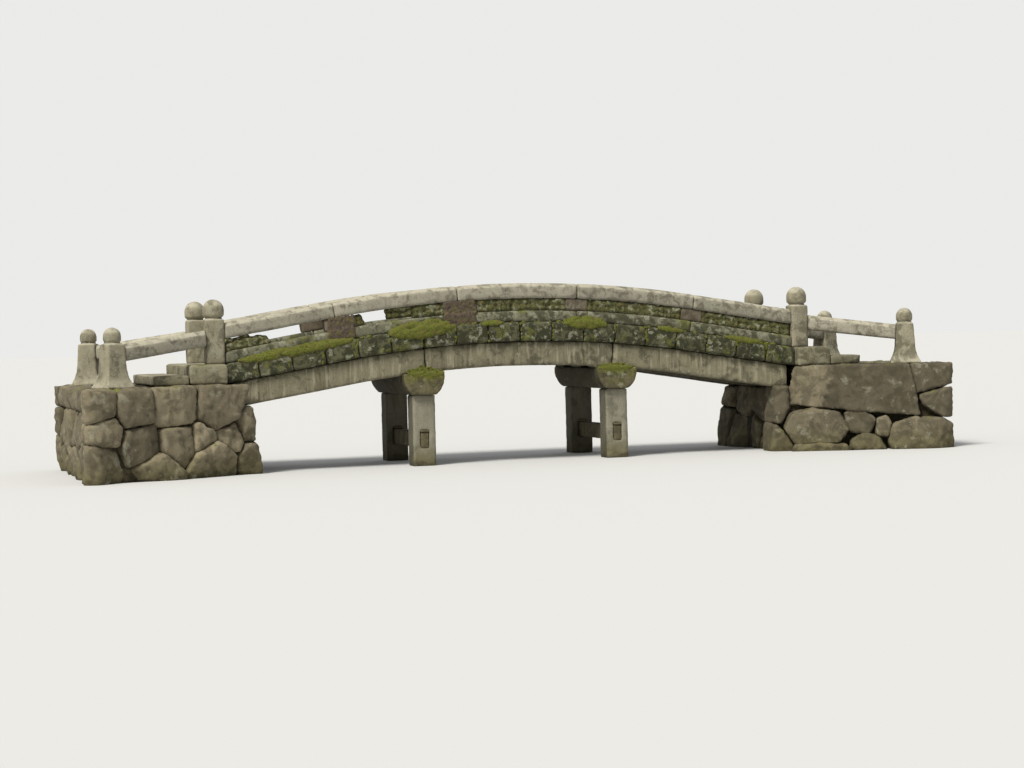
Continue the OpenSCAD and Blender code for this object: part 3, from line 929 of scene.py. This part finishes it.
# %% Lay the stones of the left near flank
# The tones carry painted sunlight in the palest stones as well as each stone's own colour.
left_stones = (  # distance along the bridge, height, radius, tone
    (3.5, 0.16, 0.24, 0.9), (4.12, 0.12, 0.3, 1.7), (4.92, 0.05, 0.28, 1.3), (5.56, 0.2, 0.26, 1.1),
    (3.9, 0.5, 0.13, 1.5), (4.25, 0.46, 0.14, 1.6), (4.58, 0.46, 0.2, 1.2), (5.06, 0.42, 0.24, 0.8),
    (3.5, 0.64, 0.24, 1.1), (5.5, 0.6, 0.17, 1.4), (4.02, 0.88, 0.27, 1.1), (4.6, 0.92, 0.28, 1.45),
    (5.12, 0.9, 0.22, 0.95), (5.58, 0.98, 0.22, 1.25),
)
JOINT = 0.003


def lay_fitted(draw):
    middles = [on_flank(x, z) for x, z, radius, tone in left_stones]
    laid = []
    for middle, (x, z, radius, tone) in zip(middles, left_stones):
        planes = flank_limits(draw.uniform(0.03, 0.09), x > ABUTMENT_X and z > 0.7)
        if x < ABUTMENT_X:
            planes.append(shelf_below)
        for other, (_, _, reach, _) in zip(middles, left_stones):
            gap = (other - middle).length
            if gap > 0:
                away = (other - middle).normalized()
                share = (gap * gap + radius ** 2 - reach ** 2) / (2 * gap)
                planes.append((middle + away * (share - JOINT), (away + OUT * FLARE).normalized()))
        for _ in range(2):
            tilt = ALONG * draw.gauss(0, 0.25) + UP * draw.gauss(0, 0.3)
            planes.append((middle + OUT * draw.uniform(0.05, 0.1), (OUT + tilt).normalized()))
        stone = cut_block(middle, 1.2, planes)
        wear_round(stone, draw.choice((14, 19, 25)), tone)
        laid.append(stone)
    return laid


# %% [markdown]
# ## The stones that don't show
# The other faces are laid by rule. Seeds walk round the abutment, course by
# course, with one at each corner so that its stone turns the corner as a quoin
# does. Every stone again takes the space that is nearest to its own seed, so
# the joints fit whatever the seeds are.

# %% Lay the other stones
COURSES = ((0.0, 0.46), (0.46, SHELF), (SHELF, TOP))  # foot and top of each course
INSET = 0.17  # from a face to the seeds behind it
SIZE_SHARE = 0.08  # how much room the bigger of two neighbours wins


def walk(draw, start, end, step):
    """Places from start up to end, about a step apart, wide and narrow by turns."""
    span = (end - start).length
    places, at = [start.copy()], step * draw.uniform(0.75, 1.2)
    while at < span - 0.55 * step:
        place = start.lerp(end, at / span)
        place.z += draw.uniform(-0.09, 0.09)
        places.append(place)
        at += step * draw.uniform(0.65, 1.35)
    return places


def ring(draw, course):
    """Seeds along the back, the far flank and the front, at the height of one course."""
    foot, top = COURSES[course]
    z = (foot + top) / 2
    front = (ABUTMENT_X if course < 2 else BACK_WALL_X) + INSET
    tail = TAIL_X - INSET
    lean_out = LEAN * (1 - z / TOP)
    near = [on_flank(x, z, lean_out - INSET) for x in (front, tail)]
    far = [Vector((p.x, -p.y, p.z)) for p in near]
    step = 0.52 if course < 2 else 0.44
    seeds = walk(draw, near[1], far[1], step) + walk(draw, far[1], far[0], step)
    if course < 2:
        seeds += walk(draw, far[0], near[0], step)
    else:
        seeds.append(far[0])
    for seed in seeds:
        seed.z += draw.uniform(-0.05, 0.05)
    return seeds


def lay_ring(draw):
    seeds = [(seed, course, draw.uniform(0.75, 1.25)) for course in range(3)
             for seed in ring(draw, course)]
    near_limit = (near_face[0] - near_face[1] * (FACING + 0.01), near_face[1])
    laid = []
    for seed, course, size in seeds:
        planes = [near_limit, moved(far_face, PROUD), moved(back_face, PROUD), near_corner, far_corner]
        if course < 2:
            planes += [moved(front_face, PROUD), shelf_below, foot_face]
        else:
            planes += [back_wall, shelf_above, top_face, foot_face]
        others = sorted(((seed - other).length, i) for i, (other, level, _) in enumerate(seeds)
                        if other is not seed and (level < 2) == (course < 2))[:9]
        for gap, i in others:
            other, _, reach = seeds[i]
            share = (gap * gap + SIZE_SHARE * (size ** 2 - reach ** 2)) / (2 * gap)
            away = (other - seed).normalized()
            planes.append((seed + away * (share - 0.002), away))
        outward = min((far_face, back_face, front_face),
                      key=lambda face: (face[0] - seed).dot(face[1]))[1]
        for _ in range(2):
            tilt = Vector((draw.gauss(0, 0.22), draw.gauss(0, 0.22), draw.gauss(0, 0.28)))
            planes.append((seed + outward * draw.uniform(0.17, 0.22), (outward + tilt).normalized()))
        planes.append((seed - outward * 0.24, -outward))
        stone = cut_block(seed, 0.7, planes)
        if len(stone.data.polygons) < 5:
            bpy.data.objects.remove(stone)
            continue
        wear_round(stone, draw.choice((7, 10, 13, 16)), draw.uniform(0.62, 1.25))
        laid.append(stone)
    return laid


# %% [markdown]
# ## Joining a wall
# All the stones of one end become one piece. The left end is mirrored, which
# turns every stone inside out, so its normals are worked out again. Last, the
# wall is cut off level at its foot.

# %% Join the walls
def wall(name, seed, mirrored, lay_flank):
    draw = random.Random(seed)
    laid = lay_ring(draw) + lay_flank(draw)
    only(*laid)
    bpy.ops.object.join()
    piece = bpy.context.object
    piece.name = piece.data.name = name
    if mirrored:
        piece.scale.x = -1
        bpy.ops.object.transform_apply(location=False, rotation=False, scale=True)
    edit_all()
    bpy.ops.mesh.normals_make_consistent(inside=False)
    bpy.ops.mesh.bisect(plane_co=(0, 0, 0), plane_no=UP, use_fill=True, clear_inner=True)
    bpy.ops.object.mode_set(mode="OBJECT")
    mark_turns(piece, 0.7)
    bpy.ops.object.shade_smooth()
    finish_piece(piece, "boulder", "abutment_stone")
    print(name, len(laid), "stones,", len(piece.data.polygons), "faces")


wall("boulders_right", 21, False, lay_shown)
wall("boulders_left", 8, True, lay_fitted)

# %% [markdown]
# ## Mounds of moss
# Moss is a cushion of thousands of short stems. From a few metres only the
# cushion's shape and its broken surface can be seen, so each mound is built
# from overlapping flattened balls, melted together by a voxel remesh and then
# roughened twice. In the photograph it fills most of the parapet's slots, but
# for parts of the two at the left. It lies in cushions on the ledge of the
# slabs, and on the ends of the caps. Two posts are hidden by dried growth.

# %% Model a mound of moss
moss_tufts = lumps("Moss tufts", 0.045, contrast=1.2)
moss_stems = lumps("Moss stems", 0.012)

bpy.ops.object.select_all(action="DESELECT")
bpy.ops.mesh.primitive_ico_sphere_add(subdivisions=2, radius=1)
tuft_pattern = bpy.context.object
bpy.ops.object.shade_smooth()


def tuft(x, y, z, length, depth, height, lean=0.0):
    """One flattened ball of moss, leaning with the deck."""
    piece = bpy.data.objects.new("tuft", tuft_pattern.data.copy())
    link(piece)
    turn = Matrix.Rotation(lean, 4, "Y")
    piece.matrix_world = Matrix.Translation((x, y, z)) @ turn @ Matrix.Diagonal((length, depth, height, 1))
    return piece


def mound(name, tufts, finish, cell=0.012, rise_by=0.014):
    tufts = list(tufts)
    only(*tufts)
    bpy.ops.object.join()
    piece = bpy.context.object
    piece.name = piece.data.name = name
    bpy.ops.object.transform_apply(location=True, rotation=True, scale=True)
    add_grid(piece, cell)
    push(piece, moss_tufts, rise_by)
    push(piece, moss_stems, 0.007)
    add_thin(piece, 0.5)
    apply_modifiers(piece)
    write_attribute(piece.data, "tone", 1.0)
    mark_turns(piece)
    finish_piece(piece, finish, "deck_granite")
    print(name, len(tufts), "tufts,", len(piece.data.polygons), "faces")


def deck_lean(x):
    return math.copysign(min(abs(x), CAMBER_HALF) / CAMBER, x)


# %% Fill the slots
SILL_H = 0.15
SLOT_H = 0.16
slot_fills = ((-2.26, -2.08, 1.0), (-1.36, -0.94, 1.0), (-0.66, 0.66, 1.03), (0.94, 2.26, 1.0),
              (2.54, 3.84, 1.0), (-3.84, -3.3, 0.7))  # start, end, how full


def slot_tufts(side, draw):
    """Two rows of tufts, one over the other, from end to end of every fill."""
    for start, end, full in slot_fills:
        x = start
        while x < end:
            fill = SLOT_H * min(1.04, full + draw.uniform(-0.14, 0.12))
            for thick, level in ((0.32, 0.25), (0.3, 0.72)):
                y = side * (PARAPET_Y + draw.uniform(-0.004, 0.014))
                yield tuft(x, y, walk_z(x, SILL_H + fill * level), draw.uniform(0.035, 0.09),
                           draw.uniform(0.065, 0.088), fill * thick + 0.012, deck_lean(x))
            x += draw.uniform(0.045, 0.07)


mound("moss_slots_near", slot_tufts(-1, random.Random(31)), "slot moss")
mound("moss_slots_far", slot_tufts(1, random.Random(32)), "slot moss")

# %% Lay the cushions
SLAB_EDGE = 0.92
SLAB_H = 0.23
SILL_FACE = 0.835
SILL_BACK = 0.63
LOOSE_TUFTS = 90
PIER_X = 1.3
CAP_TOP = 1.2
CAP_HALF = 0.235
CAP_TUFTS = 420
GIRDER_FACE = 0.856
CAP_FACE = 0.942
ledge_cushions = ((-1.72, -0.96, 0.1), (-3.7, -2.26, 0.055), (0.64, 1.16, 0.07), (-0.5, -0.25, 0.03),
                  (1.95, 2.25, 0.03), (2.9, 3.4, 0.035))  # start, end, height


def ledge_tufts(side, draw):
    """Cushions on the ledge, moss in the joints between the slabs, and loose tufts along the sill."""
    for start, end, height in ledge_cushions:
        x = start
        while x < end:
            here = height * math.sin(math.pi * (x - start + 0.05) / (end - start + 0.1)) ** 0.5
            for _ in range(3):
                size = here * draw.uniform(0.3, 0.5) + 0.01
                climb = draw.uniform(-0.85, 0.8) * here
                out = SLAB_EDGE - 0.004
                if climb >= 0:
                    out = draw.uniform(SILL_FACE, SLAB_EDGE - climb * 0.6)
                yield tuft(x, side * out, walk_z(x, climb), size * 1.9, size * 0.75, size, deck_lean(x))
            x += draw.uniform(0.012, 0.03)
    for joint in slab_joints:
        for _ in range(draw.choice((3, 8, 12, 16))):
            over = draw.uniform(-SLAB_H, 0.0)
            size = draw.uniform(0.007, 0.015)
            x = joint + draw.gauss(0.004, 0.008) - over * deck_lean(joint)
            y = side * (SLAB_EDGE - 0.005)
            yield tuft(x, y, walk_z(x, over), size * 1.2, size * 0.8, size * 1.6)
    for _ in range(LOOSE_TUFTS):
        x = draw.uniform(-3.8, 3.8)
        size = draw.uniform(0.012, 0.028)
        out = draw.choice((draw.uniform(SILL_FACE + 0.01, SLAB_EDGE - 0.01),
                           SILL_BACK - draw.uniform(0, 0.03)))
        yield tuft(x, side * out, walk_z(x), size * 1.8, size * 1.2, size, deck_lean(x))


def cap_tufts(draw):
    """Moss on the ends of the caps, climbing the outer girders."""
    for pier, reach in ((-PIER_X, 1.0), (PIER_X, 0.7)):
        for side in (-1, 1):
            for _ in range(CAP_TUFTS):
                along = draw.gauss(0, 0.13)
                if abs(along) > CAP_HALF:
                    continue
                climb = draw.gauss(0.004, 0.03) * reach * (1.1 - (along / 0.32) ** 2)
                size = draw.uniform(0.01, 0.016)
                out = GIRDER_FACE if climb > 0.02 else CAP_FACE if climb < 0 else draw.uniform(0.862, 0.944)
                yield tuft(pier + along, side * out, CAP_TOP + climb, size * 1.7, size * 0.8, size)


DRY_PATCHES = ((-1.0, -0.57), (-2.54, -2.2))
DRY_TUFTS = 720
POST_FACE = PARAPET_Y + 0.075


def dry_tufts(draw):
    """Dried growth that hides two of the posts and the sill below them, as it does in the photograph."""
    for start, end in DRY_PATCHES:
        for _ in range(DRY_TUFTS):
            x = draw.uniform(start, end)
            over = draw.uniform(0.0, SILL_H + SLOT_H)
            face = SILL_FACE if over < SILL_H else POST_FACE + draw.uniform(0.0, 0.015)
            size = draw.uniform(0.008, 0.017)
            yield tuft(x, -face, walk_z(x, over), size * 1.3, size * 0.7, size * 1.5, deck_lean(x))


mound("moss_dry_near", dry_tufts(random.Random(44)), "dry growth", 0.009, 0.01)
mound("moss_ledge_near", ledge_tufts(-1, random.Random(41)), "cushion moss", 0.009, 0.009)
mound("moss_ledge_far", ledge_tufts(1, random.Random(42)), "cushion moss", 0.009, 0.009)
mound("moss_caps", cap_tufts(random.Random(43)), "cushion moss", 0.008, 0.006)
bpy.data.objects.remove(tuft_pattern)

# %% [markdown]
# ## The studio
# The bridge stands on a plain pale floor under soft light: an even sky, and one
# broad lamp high on the left, where the light comes from in the photograph. The
# camera stands where the photograph was taken from, left of square-on and a
# little below the height of the deck.

# %% Floor, light and camera
FLOOR_SIZE = 400
SKY_STRENGTH = 0.52
LAMP_STRENGTH = 3.9
LAMP_ANGLE = math.radians(18)
LAMP_FROM = Vector((-0.5, -0.38, 0.78))
EYE = Vector((-8.764, -29.329, 1.752))
AIM = Vector((0.14, 0.0, 1.0))
ROLL = math.radians(-1.5)
LENS = 80

bpy.ops.object.select_all(action="DESELECT")
bpy.ops.mesh.primitive_plane_add(size=FLOOR_SIZE)
floor = bpy.context.object
floor.name = "floor"
floor_look = bpy.data.materials.new("Floor")
floor_look.use_nodes = True
floor_skin = floor_look.node_tree.nodes["Principled BSDF"]
floor_skin.inputs["Base Color"].default_value = (0.56, 0.56, 0.55, 1)
floor_skin.inputs["Roughness"].default_value = 1.0
floor.data.materials.append(floor_look)
floor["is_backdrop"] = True

world = bpy.data.worlds.new("Sky")
bpy.context.scene.world = world
world.use_nodes = True
open_tree(world.node_tree)
ray = put("LightPath").outputs
through = maths("MAXIMUM", ray["Is Glossy Ray"], ray["Is Transmission Ray"])
shown = maths("MAXIMUM", ray["Is Camera Ray"], through)
lit = put("Background", {"Color": (0.96, 0.98, 1.0, 1), "Strength": SKY_STRENGTH})
plain = put("Background", {"Color": (0.83, 0.83, 0.82, 1), "Strength": 1.0})
both = put("MixShader", {0: shown, 1: lit.outputs[0], 2: plain.outputs[0]})
put("OutputWorld", {"Surface": both.outputs[0]})

lamp = bpy.data.lights.new("Key", "SUN")
lamp.energy = LAMP_STRENGTH
lamp.angle = LAMP_ANGLE
lamp.color = (1.0, 0.97, 0.9)
key = bpy.data.objects.new("Key", lamp)
key.rotation_euler = LAMP_FROM.to_track_quat("Z", "Y").to_euler()
link(key)

view = bpy.data.cameras.new("Camera")
view.lens = LENS
view.sensor_width = 36
view.clip_end = 500
camera = bpy.data.objects.new("Camera", view)
camera.location = EYE
camera.rotation_mode = "QUATERNION"
camera.rotation_quaternion = (AIM - EYE).to_track_quat("-Z", "Y") @ Quaternion((0, 0, 1), ROLL)
link(camera)
bpy.context.scene.camera = camera
bpy.context.scene.view_settings.view_transform = "Standard"

# %% Write the sizes and finish
seen_box = [list(corner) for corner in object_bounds()]
print("visual box", [[round(v, 3) for v in corner] for corner in seen_box])
